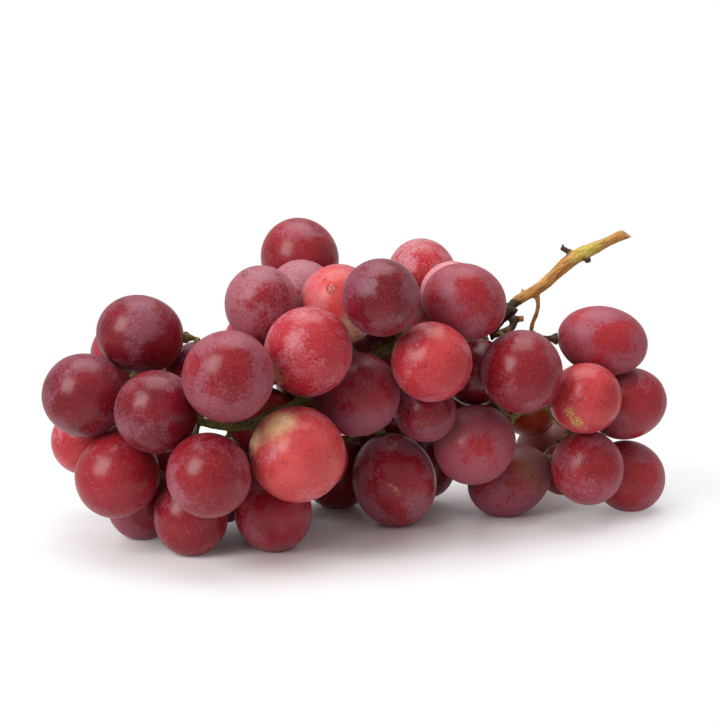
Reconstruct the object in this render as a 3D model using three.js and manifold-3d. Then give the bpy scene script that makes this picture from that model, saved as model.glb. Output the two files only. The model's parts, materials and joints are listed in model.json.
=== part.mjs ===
// A bunch of red table grapes with its cut stalk, picked and lying on its side.
// Millimetres, +Z up, +X along the bunch towards the cut end of the stalk. The origin is on the
// surface that the bunch lies on, under the middle of its outline.
// Every grape is a solid of its own. The stalk, its branches and the short foot of each grape grew
// as one piece, so they are one solid.

import * as THREE from "three";
import { mergeVertices } from "three/addons/utils/BufferGeometryUtils.js";
import Module from "manifold-3d";

const wasm = await Module();
wasm.setup();

// The grapes that show from in front are laid out as they are seen from there, a little from above:
// [across, up, back] from the point looked at, which is over the surface at LOOK_HEIGHT.
const VIEW_ELEVATION = THREE.MathUtils.degToRad(11);
const VIEW_DISTANCE = 720;
const LOOK_HEIGHT = 49.8;

const TOUCH_GAP = 0.35; // left between two solids that touch
const SURFACE_PRESS = 0.55; // how far a grape flattens where it lies on the surface
const RESTS_BELOW = 2; // a grape laid out lower than this lies on the surface
const GRAPE_DETAIL = 2; // splits of an icosahedron: 180 faces

const FOOT_RADIUS = 0.95; // of the thin stem that holds one grape
const FOOT_FLARE = 2.3; // radius of the woody disc where it meets the grape
const FOOT_LENGTH = 4.5; // straight stretch that leaves the grape
const FOOT_CLEAR = 0.5; // between the grape's skin and the face of the disc
const FOOT_DISC = 1.1; // from the skin to the back of the disc
const FOOT_NECK = 2; // from the skin to where the disc has narrowed to the stem
const BRANCH_GROWTH = 0.36; // a branch is FOOT_RADIUS times the grapes it carries to this power
const BRANCH_MOST = 1.7;

// [across, up, back, width, length, skin] of each grape that shows. The way its stem points from it
// comes last, in the same axes, where the stem or the grape's long side shows it.
const LEFT_GRAPES = [
  [-68.6, 6.6, -30, 23.4, 26, "dark", [1, -0.25, 0.3]],
  [-83.7, -9.8, -35, 24.4, 25.8, "dark"],
  [-63, -16, -48, 24, 25.5, "dark"],
  [-84.4, -24.3, -16, 21.2, 22.7, "light"],
  [-74.6, -35.3, -36, 24.2, 25.6, "red"],
  [-67.2, -43.7, -17, 21.5, 23, "dark"],
  [-47, -35.5, -57, 24, 25.5, "red"],
  [-52.5, -47.6, -34, 21.8, 23.2, "red"],
  [-72.5, 1.5, -8, 21.4, 22.9, "red"],
  [-49.5, -3.9, -22, 20, 21.5, "dark"],
  [-41.1, -5.2, -57, 25.8, 27.2, "red"],
];
const MIDDLE_GRAPES = [
  [-30.4, 17, -27, 21.8, 23.5, "dark"],
  [-18.7, 31.7, 14, 24.2, 25.7, "red"],
  [-18.5, 19.5, -4, 20.5, 22, "dark"],
  [-6.5, 17.1, -24, 23.6, 25.6, "light"],
  [-16.5, 2.5, -44, 25.5, 27.5, "light"],
  [6.6, 19.4, -44, 22.5, 24, "dark"],
  [19.4, 26.6, 16, 21.4, 22.9, "red"],
  [28.5, 20.3, -1, 19.8, 21.3, "red"],
  [32.4, 18.2, -22, 22.7, 25.6, "red", [0.9, -0.35, 0.25]],
  [22, -0.5, -34, 23.5, 25, "light"],
  [-1, -10.5, -25, 25, 27.5, "dark"],
  [-19.5, -29, -47, 27.5, 29, "light"],
  [-27, -46.5, -27, 23, 24.5, "red"],
  [10.3, -36.2, 0, 25.6, 29.2, "dark", [-0.3, 0.95, -0.05]],
  [20, -15.5, -17, 18.5, 20, "dark"],
  [35.5, -25.5, -5, 24, 25.5, "red"],
  [49.9, -3.4, -18, 24.5, 26.5, "red"],
  [46.8, -36.6, 12, 22, 27, "dark", [0.9, 0.42, 0.15]],
  [37, -1.5, 2, 20, 21.5, "dark"],
  [33.5, -8.5, 20, 19.5, 21, "dark"],
  [20, -32.5, 21, 19.5, 21, "dark"],
  [-6, -34.4, 15, 23, 24.2, "dark"],
];
const RIGHT_GRAPES = [
  [75.4, 4.9, 3, 21.4, 28, "red", [-1, 0.2, -0.05]],
  [69.7, -11.6, -8, 21.5, 23, "light"],
  [82.4, -12.5, 9, 21.9, 25.1, "red", [-1, -0.4, 0.1]],
  [70.5, -33, -2, 22, 23.5, "red"],
  [83.2, -35.3, 16, 22, 23.8, "red", [-0.8, 0.6, -0.2]],
  [58.5, -28.5, 37, 21, 22.5, "green"],
  [52.5, -14, 26, 19, 20.5, "amber"],
  [62.5, -33.5, 22, 16.5, 17.5, "red"],
];

// Grapes deep inside the bunch that close the gaps between those in front.
const INNER_GRAPES = [
  [3.5, 3, 11, 22.5, 24, "dark"],
  [-30, -18, -6, 22, 23.5, "red"],
  [6.3, -18.5, 15, 21.5, 23, "dark"],
  [-59, -28.5, -6, 21, 22.5, "red"],
];

// The rest of the inside and the far side are filled by a rule. Each new grape takes the free place
// nearest to the stalk that the grapes in front of it hide.
const BACK_GRAPES = 13;
const BACK_SIZES_TRIED = 26;
const BACK_WIDTHS = [20.5, 25];
const BACK_PLACES_TRIED = 4000;
const BACK_NEAREST = 15; // from the stalk's middle line to a grape's centre
const BACK_FURTHEST = 36;
const BACK_RAYS = 12; // directions in which its outline is looked at from the front
const BACK_RINGS = [0.5, 0.95]; // and how far out on each, as shares of its radius
const LONGER = [1.05, 1.12]; // a grape's length over its width
const BACK_SKINS = ["dark", "red", "red", "light"];
const SEED = 10;

// The stalk's middle line from its cut end to its tip inside the bunch: [across, up, back, radius].
const STALK = [
  [84.6, 40.0, 12, 1.75],
  [80.6, 38.6, 12, 1.75],
  [76.9, 36.9, 11.5, 1.6],
  [71.5, 34.3, 11, 2.15],
  [67.7, 32.6, 10, 2.35],
  [63.5, 29.6, 9.5, 2.2],
  [59.9, 26.1, 9, 1.95],
  [56.1, 22.9, 8, 1.85],
  [52.3, 20.6, 8, 1.75],
  [48.8, 18.6, 7.5, 1.7],
  [46.5, 16.6, 7, 1.45],
  [41.5, 12.6, 8, 1.7],
  [36.6, 9.2, 10, 1.8],
  [26.4, 6.4, 8, 1.8],
  [15.5, 4.8, 2, 1.8],
  [6.2, 2.9, -3, 1.8],
  [-4.7, -4.5, -8, 1.7],
  [-15.5, -11.9, -14, 1.7],
  [-26.4, -16.3, -20, 1.6],
  [-34.1, -20.0, -26, 1.6],
  [-41.9, -20.3, -29, 1.5],
  [-49.9, -18.8, -31, 1.3],
  [-58.9, -15.3, -28, 1.2],
  [-68.2, -12.2, -22, 1.0],
];
const BARE_STALK = 11; // its first points, outside the bunch, carry no grapes
// The thin branch that drops from the stalk to the right-hand grapes.
const RIGHT_BRANCH = [
  [54.6, 21.2, 8, 1.1],
  [55.2, 18.1, 8.5, 0.85],
  [54.9, 15.0, 9.5, 0.8],
  [53.6, 11.9, 10.5, 0.8],
  [53.0, 9.1, 12, 0.9],
  [54.6, 3.3, 13, 0.9],
  [57.4, -4.5, 8, 0.9],
  [58.6, -12.2, 3, 1.0],
  [59.2, -16.3, 1, 1.2],
  [63.5, -20.3, 3, 1.0],
  [71.9, -22.5, 6, 0.8],
];
const RIGHT_BRANCH_BARE = 4;
// The dark knotted branch under the place where the stalk enters the bunch.
const KNOT_BRANCH = [
  [46.8, 16.4, 7, 1.3],
  [46.0, 14.4, 6, 1.7],
  [47.6, 12.4, 5, 1.5],
  [47.4, 10.4, 4.5, 1.2],
  [44.0, 8.9, 3.5, 1.1],
  [40.8, 7.4, 2, 1.2],
];
const KNOT_BRANCH_BARE = 4;
// The cut through the stalk's end: a point on it, and the way it faces, in the same axes.
const STALK_CUT = [82.4, 39.4, 12];
const STALK_CUT_FACES = [0.5, 0.72, -0.35];
// Dried ends where a grape or a tendril broke off: [root, tip], each [across, up, back, radius].
const STUBS = [
  [[66.2, 33.0, 10, 1.2], [62.2, 35.0, 9.4, 0.8]],
  [[63.2, 34.6, 9.6, 0.6], [62.9, 36.2, 9.6, 0.35]],
  [[70.2, 33.0, 9.5, 1.0], [70.8, 30.4, 8.8, 1.15]],
  [[52.4, 20.2, 8, 0.7], [49.7, 22.3, 7.4, 0.35]],
  [[47.2, 13.1, 5.5, 0.9], [50.6, 12.9, 4, 1.2]],
];
// A knot inside the bunch, where the branch to the right-hand grapes forks.
const FORK_KNOT = [[63.8, -22.3, 5.5, 1.0], [66.8, -19.5, 1.8, 1.0]];

// The skins, from the darkest ripe one under its bloom to the two that ripened in the shade.
const SKIN_COLOURS = {
  dark: "#6f2a3b",
  red: "#96303e",
  light: "#bf4a4c",
  amber: "#a4512f",
  green: "#a07a56",
};
const SKIN_ROUGHNESS = 0.42;
const STALK_COLOUR = "#a3814a";
const STALK_ROUGHNESS = 0.75;

const rightward = new THREE.Vector3(1, 0, 0);
const forward = new THREE.Vector3(0, Math.cos(VIEW_ELEVATION), -Math.sin(VIEW_ELEVATION));
const upward = new THREE.Vector3().crossVectors(rightward, forward);

function fromView([across, up, back]) {
  const spread = 1 + back / VIEW_DISTANCE;
  return new THREE.Vector3(0, 0, LOOK_HEIGHT)
    .addScaledVector(rightward, across * spread)
    .addScaledVector(upward, up * spread)
    .addScaledVector(forward, back);
}

// A repeatable draw from 0 to 1.
function drawer(seed) {
  let state = seed;
  return () => {
    state = (state + 0x6d2b79f5) | 0;
    let mixed = Math.imul(state ^ (state >>> 15), 1 | state);
    mixed = (mixed + Math.imul(mixed ^ (mixed >>> 7), 61 | mixed)) ^ mixed;
    return ((mixed ^ (mixed >>> 14)) >>> 0) / 4294967296;
  };
}

// Middle lines

function middleLine(points, step) {
  const curve = new THREE.CatmullRomCurve3(points.map(fromView));
  const radii = points.map((point) => point[3]);
  const count = Math.round(curve.getLength() / step);
  return Array.from({ length: count + 1 }, (_, i) => {
    const along = (i / count) * (points.length - 1);
    const from = Math.min(Math.floor(along), points.length - 2);
    const radius = THREE.MathUtils.lerp(radii[from], radii[from + 1], along - from);
    return { at: curve.getPoint(i / count), radius, bearing: true, along };
  });
}

function bearingAfter(line, bare) {
  line.forEach((bead) => (bead.bearing = bead.along >= bare));
  return line;
}

const BEAD_STEP = 2.2;
const stalkLine = bearingAfter(middleLine(STALK, BEAD_STEP), BARE_STALK);
const rightLine = bearingAfter(middleLine(RIGHT_BRANCH, BEAD_STEP), RIGHT_BRANCH_BARE);
const knotLine = bearingAfter(middleLine(KNOT_BRANCH, BEAD_STEP), KNOT_BRANCH_BARE);
const mainLines = [stalkLine, rightLine, knotLine];
const beads = mainLines.flat();
const bearingBeads = beads.filter((bead) => bead.bearing);

function nearestBead(point, among) {
  return among.reduce((best, bead) =>
    bead.at.distanceToSquared(point) < best.at.distanceToSquared(point) ? bead : best,
  );
}

// Grapes: an ellipsoid turned about its long axis, which points away from the stalk.

function grapeAt(name, centre, width, length, skin, stem) {
  const axis = centre.clone().sub(nearestBead(centre, bearingBeads).at).normalize();
  if (stem) {
    axis.set(0, 0, 0).addScaledVector(rightward, -stem[0]).addScaledVector(upward, -stem[1]);
    axis.addScaledVector(forward, -stem[2]).normalize();
  }
  const told = Boolean(stem);
  return { name, centre, half: width / 2, halfLength: length / 2, axis, skin, told, rests: false };
}

// How far a grape reaches past its centre, measured square to a plane facing that way.
function reach(grape, direction) {
  const along = grape.axis.dot(direction) ** 2;
  return Math.sqrt(grape.half ** 2 * (1 - along) + grape.halfLength ** 2 * along);
}

// The distance from a grape's centre to its skin in a direction.
function skinAt(grape, direction) {
  const along = grape.axis.dot(direction) ** 2;
  return 1 / Math.sqrt((1 - along) / grape.half ** 2 + along / grape.halfLength ** 2);
}

const down = new THREE.Vector3(0, 0, -1);
const LOOSE_ACROSS = 0.12; // grapes that press on each other move mostly along the view

function partMove(direction) {
  const move = direction.clone().multiplyScalar(LOOSE_ACROSS);
  move.addScaledVector(forward, (1 - LOOSE_ACROSS) * direction.dot(forward));
  return move.divideScalar(move.dot(direction));
}

function partPair(one, other) {
  const apart = other.centre.clone().sub(one.centre);
  const distance = apart.length();
  const direction = apart.divideScalar(distance);
  const short = reach(one, direction) + reach(other, direction) + TOUCH_GAP - distance;
  if (short <= 0) return;
  const move = partMove(direction).multiplyScalar(short / 2);
  one.centre.sub(move);
  other.centre.add(move);
}

function clearOfStalk(grape) {
  for (const bead of beads) {
    const apart = grape.centre.clone().sub(bead.at);
    const distance = apart.length();
    const direction = apart.divideScalar(distance);
    const short = skinAt(grape, direction) + bead.radius + TOUCH_GAP - distance;
    if (short > 0) grape.centre.addScaledVector(partMove(direction), short / 2);
  }
}

function keepOnSurface(grape) {
  const lowest = reach(grape, down) - SURFACE_PRESS;
  if (grape.rests || grape.centre.z < lowest) grape.centre.z = lowest;
}

const SETTLE_ROUNDS = 300;
const RESETTLE_ROUNDS = 200; // after a few grapes are added or turned

function settle(grapes, rounds) {
  for (let round = 0; round < rounds; round++) {
    grapes.forEach((one, i) => grapes.slice(i + 1).forEach((other) => partPair(one, other)));
    grapes.forEach(clearOfStalk);
    grapes.forEach(keepOnSurface);
  }
}

function seenGrapes(region, rows) {
  return rows.map(([across, up, back, width, length, skin, stem], i) => {
    const name = `grape_${region}_${String(i + 1).padStart(2, "0")}`;
    const grape = grapeAt(name, fromView([across, up, back]), width, length, skin, stem);
    grape.rests = grape.centre.z - reach(grape, down) < RESTS_BELOW;
    return grape;
  });
}

function between(range, share) {
  return THREE.MathUtils.lerp(range[0], range[1], share);
}

// A place is free if a grape there would press into its neighbours by less than this.
const BACK_PRESS = 1.5;

const eye = new THREE.Vector3(0, 0, LOOK_HEIGHT).addScaledVector(forward, -VIEW_DISTANCE);

// True if a grape in front of the point covers it from the eye.
function covered(point, grapes) {
  const sight = point.clone().sub(eye);
  const distance = sight.length();
  sight.divideScalar(distance);
  return grapes.some((grape) => {
    const to = grape.centre.clone().sub(eye);
    const along = to.dot(sight);
    return along < distance && to.addScaledVector(sight, -along).length() < grape.half;
  });
}

function hidden(centre, half, grapes) {
  const turns = Array.from({ length: BACK_RAYS }, (_, i) => (i / BACK_RAYS) * 2 * Math.PI);
  return BACK_RINGS.every((share) =>
    turns.every((turn) => {
      const point = centre.clone();
      point.addScaledVector(rightward, Math.cos(turn) * half * share);
      point.addScaledVector(upward, Math.sin(turn) * half * share);
      return covered(point, grapes);
    }),
  );
}

function backGrapes(grapes) {
  const draw = drawer(SEED);
  const made = [];
  for (let tries = 0; tries < BACK_SIZES_TRIED && made.length < BACK_GRAPES; tries++) {
    const width = between(BACK_WIDTHS, draw());
    const length = width * between(LONGER, draw());
    const name = `grape_back_${String(made.length + 1).padStart(2, "0")}`;
    let best = null;
    for (let tried = 0; tried < BACK_PLACES_TRIED; tried++) {
      const bead = bearingBeads[Math.floor(draw() * bearingBeads.length)];
      const turn = draw() * 2 * Math.PI;
      const rise = 2 * draw() - 1;
      const side = Math.sqrt(1 - rise * rise);
      const offset = new THREE.Vector3(side * Math.cos(turn), side * Math.sin(turn), rise);
      const out = between([BACK_NEAREST, BACK_FURTHEST], draw());
      const centre = bead.at.clone().addScaledVector(offset, out);
      const nearest = nearestBead(centre, bearingBeads);
      const away = centre.distanceTo(nearest.at);
      if (away < BACK_NEAREST) continue;
      if (centre.z < width / 2 - SURFACE_PRESS) continue;
      const free = [...grapes, ...made].every(
        (other) => centre.distanceTo(other.centre) > width / 2 + other.half - BACK_PRESS,
      );
      if (!free || (best && away > best.away)) continue;
      if (hidden(centre, width / 2, grapes)) best = { centre, away };
    }
    if (!best) continue;
    const skin = BACK_SKINS[made.length % BACK_SKINS.length];
    const grape = grapeAt(name, best.centre, width, length, skin);
    grape.rests = grape.centre.z - reach(grape, down) < RESTS_BELOW;
    made.push(grape);
  }
  return made;
}

const grapes = [
  ...seenGrapes("left", LEFT_GRAPES),
  ...seenGrapes("middle", MIDDLE_GRAPES),
  ...seenGrapes("right", RIGHT_GRAPES),
];
settle(grapes, SETTLE_ROUNDS);
grapes.push(...seenGrapes("inner", INNER_GRAPES));
settle(grapes, RESETTLE_ROUNDS);
grapes.push(...backGrapes(grapes));
settle(grapes, SETTLE_ROUNDS);

// Twigs. Every grape's stem runs through the open room between the grapes to the nearest bearing
// stretch of the stalk, and stems that meet on the way go on as one thicker branch.

const CELL = 1.4;
const ROOM_MARGIN = 12;
const ROOM_FLOOR = 1; // no way runs lower over the surface than this
const ROOM_ENOUGH = 9; // more room than this makes no difference
const TIGHTEST = FOOT_RADIUS + 0.2; // clearance that a twig's middle line needs
const SEEN_COST = 5; // a way that shows from the front counts this much longer
const TIGHT_COST = 1.5;
const COST_STEP = 0.4;

function openRoom(grapes) {
  const box = new THREE.Box3().setFromPoints(grapes.map((grape) => grape.centre));
  box.expandByScalar(ROOM_MARGIN);
  box.min.z = ROOM_FLOOR;
  const span = box.getSize(new THREE.Vector3()).divideScalar(CELL).ceil();
  const clearance = new Float32Array(span.x * span.y * span.z).fill(ROOM_ENOUGH);
  const indexOf = (point) => {
    const cell = point.clone().sub(box.min).divideScalar(CELL).floor();
    const inside = ["x", "y", "z"].every((key) => cell[key] >= 0 && cell[key] < span[key]);
    return inside ? cell.x + span.x * (cell.y + span.y * cell.z) : -1;
  };
  const pointOf = (index) => {
    const x = index % span.x;
    const y = Math.floor(index / span.x) % span.y;
    const z = Math.floor(index / (span.x * span.y));
    return new THREE.Vector3(x + 0.5, y + 0.5, z + 0.5).multiplyScalar(CELL).add(box.min);
  };
  for (let index = 0; index < clearance.length; index++) {
    const point = pointOf(index);
    for (const grape of grapes) clearance[index] = Math.min(clearance[index], roomTo(grape, point));
  }
  return { clearance, span, indexOf, pointOf };
}

function roomTo(grape, point) {
  const apart = point.clone().sub(grape.centre);
  const distance = apart.length();
  if (distance > grape.halfLength + ROOM_ENOUGH) return ROOM_ENOUGH;
  return distance - skinAt(grape, apart.divideScalar(distance));
}

const neighbourSteps = [];
for (const x of [-1, 0, 1]) {
  for (const y of [-1, 0, 1]) {
    for (const z of [-1, 0, 1]) {
      const length = Math.hypot(x, y, z);
      if (length > 0) neighbourSteps.push({ x, y, z, length: length * CELL });
    }
  }
}

// The cheapest way from the stalk to every open cell.
function waysFromStalk(room, grapes) {
  const { clearance, span } = room;
  const cost = new Float32Array(clearance.length).fill(Infinity);
  const from = new Int32Array(clearance.length).fill(-1);
  const weight = new Float32Array(clearance.length);
  const buckets = [];
  const reachCell = (index, value, parent) => {
    if (value >= cost[index]) return;
    cost[index] = value;
    from[index] = parent;
    (buckets[Math.floor(value / COST_STEP)] ??= []).push(index);
  };
  for (const bead of bearingBeads) {
    const index = room.indexOf(bead.at);
    if (index >= 0) reachCell(index, 0, -1);
  }
  const done = new Uint8Array(clearance.length);
  for (let level = 0; level < buckets.length; level++) {
    for (const index of buckets[level] ?? []) {
      if (done[index]) continue;
      done[index] = 1;
      for (const step of neighbourSteps) {
        const next = index + step.x + span.x * (step.y + span.y * step.z);
        if (next < 0 || next >= clearance.length || clearance[next] < TIGHTEST) continue;
        if (!weight[next]) {
          const shown = covered(room.pointOf(next), grapes) ? 1 : SEEN_COST;
          weight[next] = shown * (1 + TIGHT_COST / clearance[next]);
        }
        reachCell(next, cost[index] + step.length * weight[next], index);
      }
    }
  }
  return { cost, from };
}

const TURN_COST = 9; // millimetres of way that one radian off the grape's own axis is worth
const DIRECTIONS = 400;

function directionsAbout(axis, widest) {
  const found = [];
  for (let i = 0; i < DIRECTIONS; i++) {
    const rise = 1 - (2 * (i + 0.5)) / DIRECTIONS;
    const side = Math.sqrt(1 - rise * rise);
    const turn = i * Math.PI * (3 - Math.sqrt(5));
    const direction = new THREE.Vector3(side * Math.cos(turn), side * Math.sin(turn), rise);
    const angle = direction.angleTo(axis);
    if (angle <= widest) found.push({ direction, angle });
  }
  return found;
}

// Where a grape's stem leaves it: the direction that has the shortest open way to the stalk.
function stemEnd(grape, room, ways, widest) {
  const pole = grape.axis.clone().negate();
  let best = null;
  for (const { direction, angle } of directionsAbout(pole, widest)) {
    const out = skinAt(grape, direction) + FOOT_LENGTH;
    const end = grape.centre.clone().addScaledVector(direction, out);
    const index = room.indexOf(end);
    if (index < 0 || !Number.isFinite(ways.cost[index])) continue;
    const half = grape.centre.clone().addScaledVector(direction, out - FOOT_LENGTH / 2);
    const clear = grapes.every((other) => other === grape || roomTo(other, half) > TIGHTEST);
    const total = ways.cost[index] + TURN_COST * angle;
    if (clear && (!best || total < best.total)) best = { direction, end, index, total };
  }
  return best;
}

const WIDEST_FIRST = THREE.MathUtils.degToRad(75);
const WIDEST_TOLD = THREE.MathUtils.degToRad(14);

function aimStems(grapes) {
  const room = openRoom(grapes);
  const ways = waysFromStalk(room, grapes);
  for (const grape of grapes) {
    grape.stem = stemEnd(grape, room, ways, grape.told ? WIDEST_TOLD : WIDEST_FIRST);
    if (!grape.stem) throw new Error(`no open way from the stalk to ${grape.name}`);
    if (!grape.told) grape.axis.copy(grape.stem.direction).negate();
  }
  return { room, ways };
}

const JOINS_WITHIN = 3.6; // a stem that comes this near to another goes on as one with it

// The joints of the twigs. Each knows the one before it on the way to the stalk and how many grapes
// hang beyond it.
function growTwigs(grapes) {
  const { room, ways } = aimStems(grapes);
  const joints = [];
  const addJoint = (at, before, fixed) => {
    const joint = { at, before, fixed, after: [], load: 0 };
    if (before) before.after.push(joint);
    joints.push(joint);
    return joint;
  };
  const nearestFirst = [...grapes].sort(
    (one, other) => ways.cost[one.stem.index] - ways.cost[other.stem.index],
  );
  for (const grape of nearestFirst) {
    const way = [grape.stem.end.clone()];
    let before = null;
    for (let index = grape.stem.index; index >= 0 && !before; index = ways.from[index]) {
      const at = room.pointOf(index);
      before = joints.find((joint) => !joint.tip && joint.at.distanceTo(at) < JOINS_WITHIN);
      const bead = nearestBead(at, bearingBeads);
      const atStalk = bead.at.distanceTo(at) < JOINS_WITHIN;
      if (!before && atStalk) before = addJoint(bead.at.clone(), null, true);
      way.push(at);
    }
    if (!before) throw new Error(`the stem of ${grape.name} ends in the air`);
    for (const at of way.reverse()) before = addJoint(at, before, false);
    before.fixed = true;
    before.tip = true;
    grape.joint = before;
    for (let joint = before; joint; joint = joint.before) joint.load++;
  }
  return joints;
}

function twigRadius(load) {
  return Math.min(BRANCH_MOST, FOOT_RADIUS * load ** BRANCH_GROWTH);
}

const EASE_ROUNDS = 60;
const EASE_SHARE = 0.6; // of the way to the middle of its neighbours, each round

// Draws the twigs straight, as far as the grapes around them allow.
function easeTwigs(joints, grapes) {
  for (let round = 0; round < EASE_ROUNDS; round++) {
    for (const joint of joints) {
      if (joint.fixed) continue;
      const beside = [joint.before, ...joint.after];
      const middle = new THREE.Vector3();
      beside.forEach((other) => middle.addScaledVector(other.at, 1 / beside.length));
      joint.at.lerp(middle, EASE_SHARE);
      for (const grape of grapes) {
        const short = twigRadius(joint.load) + TOUCH_GAP - roomTo(grape, joint.at);
        const out = joint.at.clone().sub(grape.centre).normalize();
        if (short > 0) joint.at.addScaledVector(out, short);
      }
    }
  }
}

const TWIG_STEP = 4.5;
const FORK_STEP = 2;

// True for the one joint after a fork that the thickest branch goes on to.
function isFirst(joint) {
  const heaviest = joint.before.after.reduce((best, other) => (other.load > best.load ? other : best));
  return heaviest === joint;
}

// One branch for each grape: the woody disc on the grape, a straight stretch that leaves it, and the
// way to the stalk, up to the fork where a branch with more grapes takes over.
function branchTo(grape) {
  const skin = skinAt(grape, grape.stem.direction);
  const rings = [
    [skin + FOOT_CLEAR, FOOT_FLARE],
    [skin + FOOT_DISC, FOOT_FLARE * 0.9],
    [skin + FOOT_NECK, FOOT_RADIUS * 1.25],
    [skin + FOOT_LENGTH, FOOT_RADIUS],
  ];
  const points = rings.map(([out, radius]) => ({
    at: grape.centre.clone().addScaledVector(grape.stem.direction, out),
    radius,
  }));
  const add = (joint, least) => {
    const far = joint.at.distanceTo(points.at(-1).at) >= least;
    if (far) points.push({ at: joint.at, radius: twigRadius(joint.load) });
  };
  let joint = grape.joint;
  while (joint.before && isFirst(joint)) {
    joint = joint.before;
    if (joint.before) add(joint, joint.after.length > 1 ? FORK_STEP : TWIG_STEP);
  }
  add(joint.before ?? joint, 1);
  return points;
}

for (let round = 0; round < 2; round++) {
  aimStems(grapes);
  settle(grapes, RESETTLE_ROUNDS);
}
const twigs = growTwigs(grapes);
easeTwigs(twigs, grapes);

// Solids

// A closed tube through points, each { at, radius }, with flat ends.
function tubeGeometry(points, sides) {
  const positions = [];
  const faces = [];
  const ways = points.map((_, i) => {
    const before = points[Math.max(i - 1, 0)].at;
    const after = points[Math.min(i + 1, points.length - 1)].at;
    return after.clone().sub(before).normalize();
  });
  const side = Math.abs(ways[0].z) > 0.9 ? new THREE.Vector3(1, 0, 0) : new THREE.Vector3(0, 0, 1);
  points.forEach((point, i) => {
    side.addScaledVector(ways[i], -side.dot(ways[i])).normalize();
    const other = new THREE.Vector3().crossVectors(ways[i], side);
    for (let k = 0; k < sides; k++) {
      const turn = (k / sides) * 2 * Math.PI;
      const corner = point.at.clone();
      corner.addScaledVector(side, Math.cos(turn) * point.radius);
      corner.addScaledVector(other, Math.sin(turn) * point.radius);
      positions.push(...corner.toArray());
    }
  });
  for (let i = 0; i + 1 < points.length; i++) {
    for (let k = 0; k < sides; k++) {
      const a = i * sides + k;
      const b = i * sides + ((k + 1) % sides);
      faces.push(a, b, b + sides, a, b + sides, a + sides);
    }
  }
  const end = (points.length - 1) * sides;
  for (let k = 1; k + 1 < sides; k++) faces.push(0, k + 1, k, end, end + k, end + k + 1);
  const geometry = new THREE.BufferGeometry();
  geometry.setAttribute("position", new THREE.Float32BufferAttribute(positions, 3));
  return geometry.setIndex(faces);
}

function solidOf(geometry) {
  geometry.deleteAttribute("normal");
  geometry.deleteAttribute("uv");
  const merged = mergeVertices(geometry, 1e-4);
  const vertProperties = new Float32Array(merged.attributes.position.array);
  const triVerts = new Uint32Array(merged.index.array);
  return new wasm.Manifold(new wasm.Mesh({ numProp: 3, vertProperties, triVerts }));
}

function geometryOf(solid) {
  const { vertProperties, triVerts } = solid.getMesh();
  const geometry = new THREE.BufferGeometry();
  geometry.setAttribute("position", new THREE.Float32BufferAttribute(vertProperties, 3));
  return geometry.setIndex([...triVerts]);
}

const FACET_SWELL = 1.01; // keeps the volume of the faceted grape that of the smooth one
const long = new THREE.Vector3(0, 0, 1);

// A grape about its own centre with its long axis along Z, thicker all round by `grown`.
function grapeGeometry(grape, grown = 0) {
  const geometry = new THREE.IcosahedronGeometry(1, GRAPE_DETAIL);
  const wide = grape.half * FACET_SWELL + grown;
  return geometry.scale(wide, wide, grape.halfLength * FACET_SWELL + grown);
}

function turnOf(grape) {
  return new THREE.Quaternion().setFromUnitVectors(long, grape.axis);
}

// The room a grape takes up, with the gap that its neighbours keep.
function roomSolid(grape) {
  const geometry = grapeGeometry(grape, TOUCH_GAP).applyQuaternion(turnOf(grape));
  return solidOf(geometry.translate(...grape.centre.toArray()));
}

const UNDER_WIDTH = 80;
const UNDER_DEPTH = 20;

// Cuts off what a resting grape presses flat against the surface.
function flattened(grape, geometry) {
  const under = new THREE.BoxGeometry(UNDER_WIDTH, UNDER_WIDTH, UNDER_DEPTH);
  under.translate(0, 0, -UNDER_DEPTH / 2 - grape.centre.z);
  under.applyQuaternion(turnOf(grape).invert());
  return geometryOf(solidOf(geometry).subtract(solidOf(under)));
}

const LEAST_PRESS = 0.2;

function grapeMesh(grape) {
  const color = SKIN_COLOURS[grape.skin];
  const material = new THREE.MeshStandardMaterial({ color, roughness: SKIN_ROUGHNESS, metalness: 0 });
  const pressed = reach(grape, down) - grape.centre.z;
  const round = grapeGeometry(grape);
  const mesh = new THREE.Mesh(pressed > LEAST_PRESS ? flattened(grape, round) : round, material);
  mesh.name = grape.name;
  mesh.position.copy(grape.centre);
  mesh.quaternion.copy(turnOf(grape));
  return mesh;
}

const MAIN_SIDES = 8;
const TWIG_SIDES = 5;
const LINE_STEP = 4;
const KNOT_STEP = 2;
const CUT_OFF_SIZE = 12;

// All that the slanting cut takes off the stalk's end.
function cutOff() {
  const beyond = new THREE.BoxGeometry(CUT_OFF_SIZE, CUT_OFF_SIZE, CUT_OFF_SIZE);
  beyond.translate(0, 0, CUT_OFF_SIZE / 2);
  const faces = new THREE.Vector3().addScaledVector(rightward, STALK_CUT_FACES[0]);
  faces.addScaledVector(upward, STALK_CUT_FACES[1]).addScaledVector(forward, STALK_CUT_FACES[2]);
  beyond.applyQuaternion(new THREE.Quaternion().setFromUnitVectors(long, faces.normalize()));
  return solidOf(beyond.translate(...fromView(STALK_CUT).toArray()));
}

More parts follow.
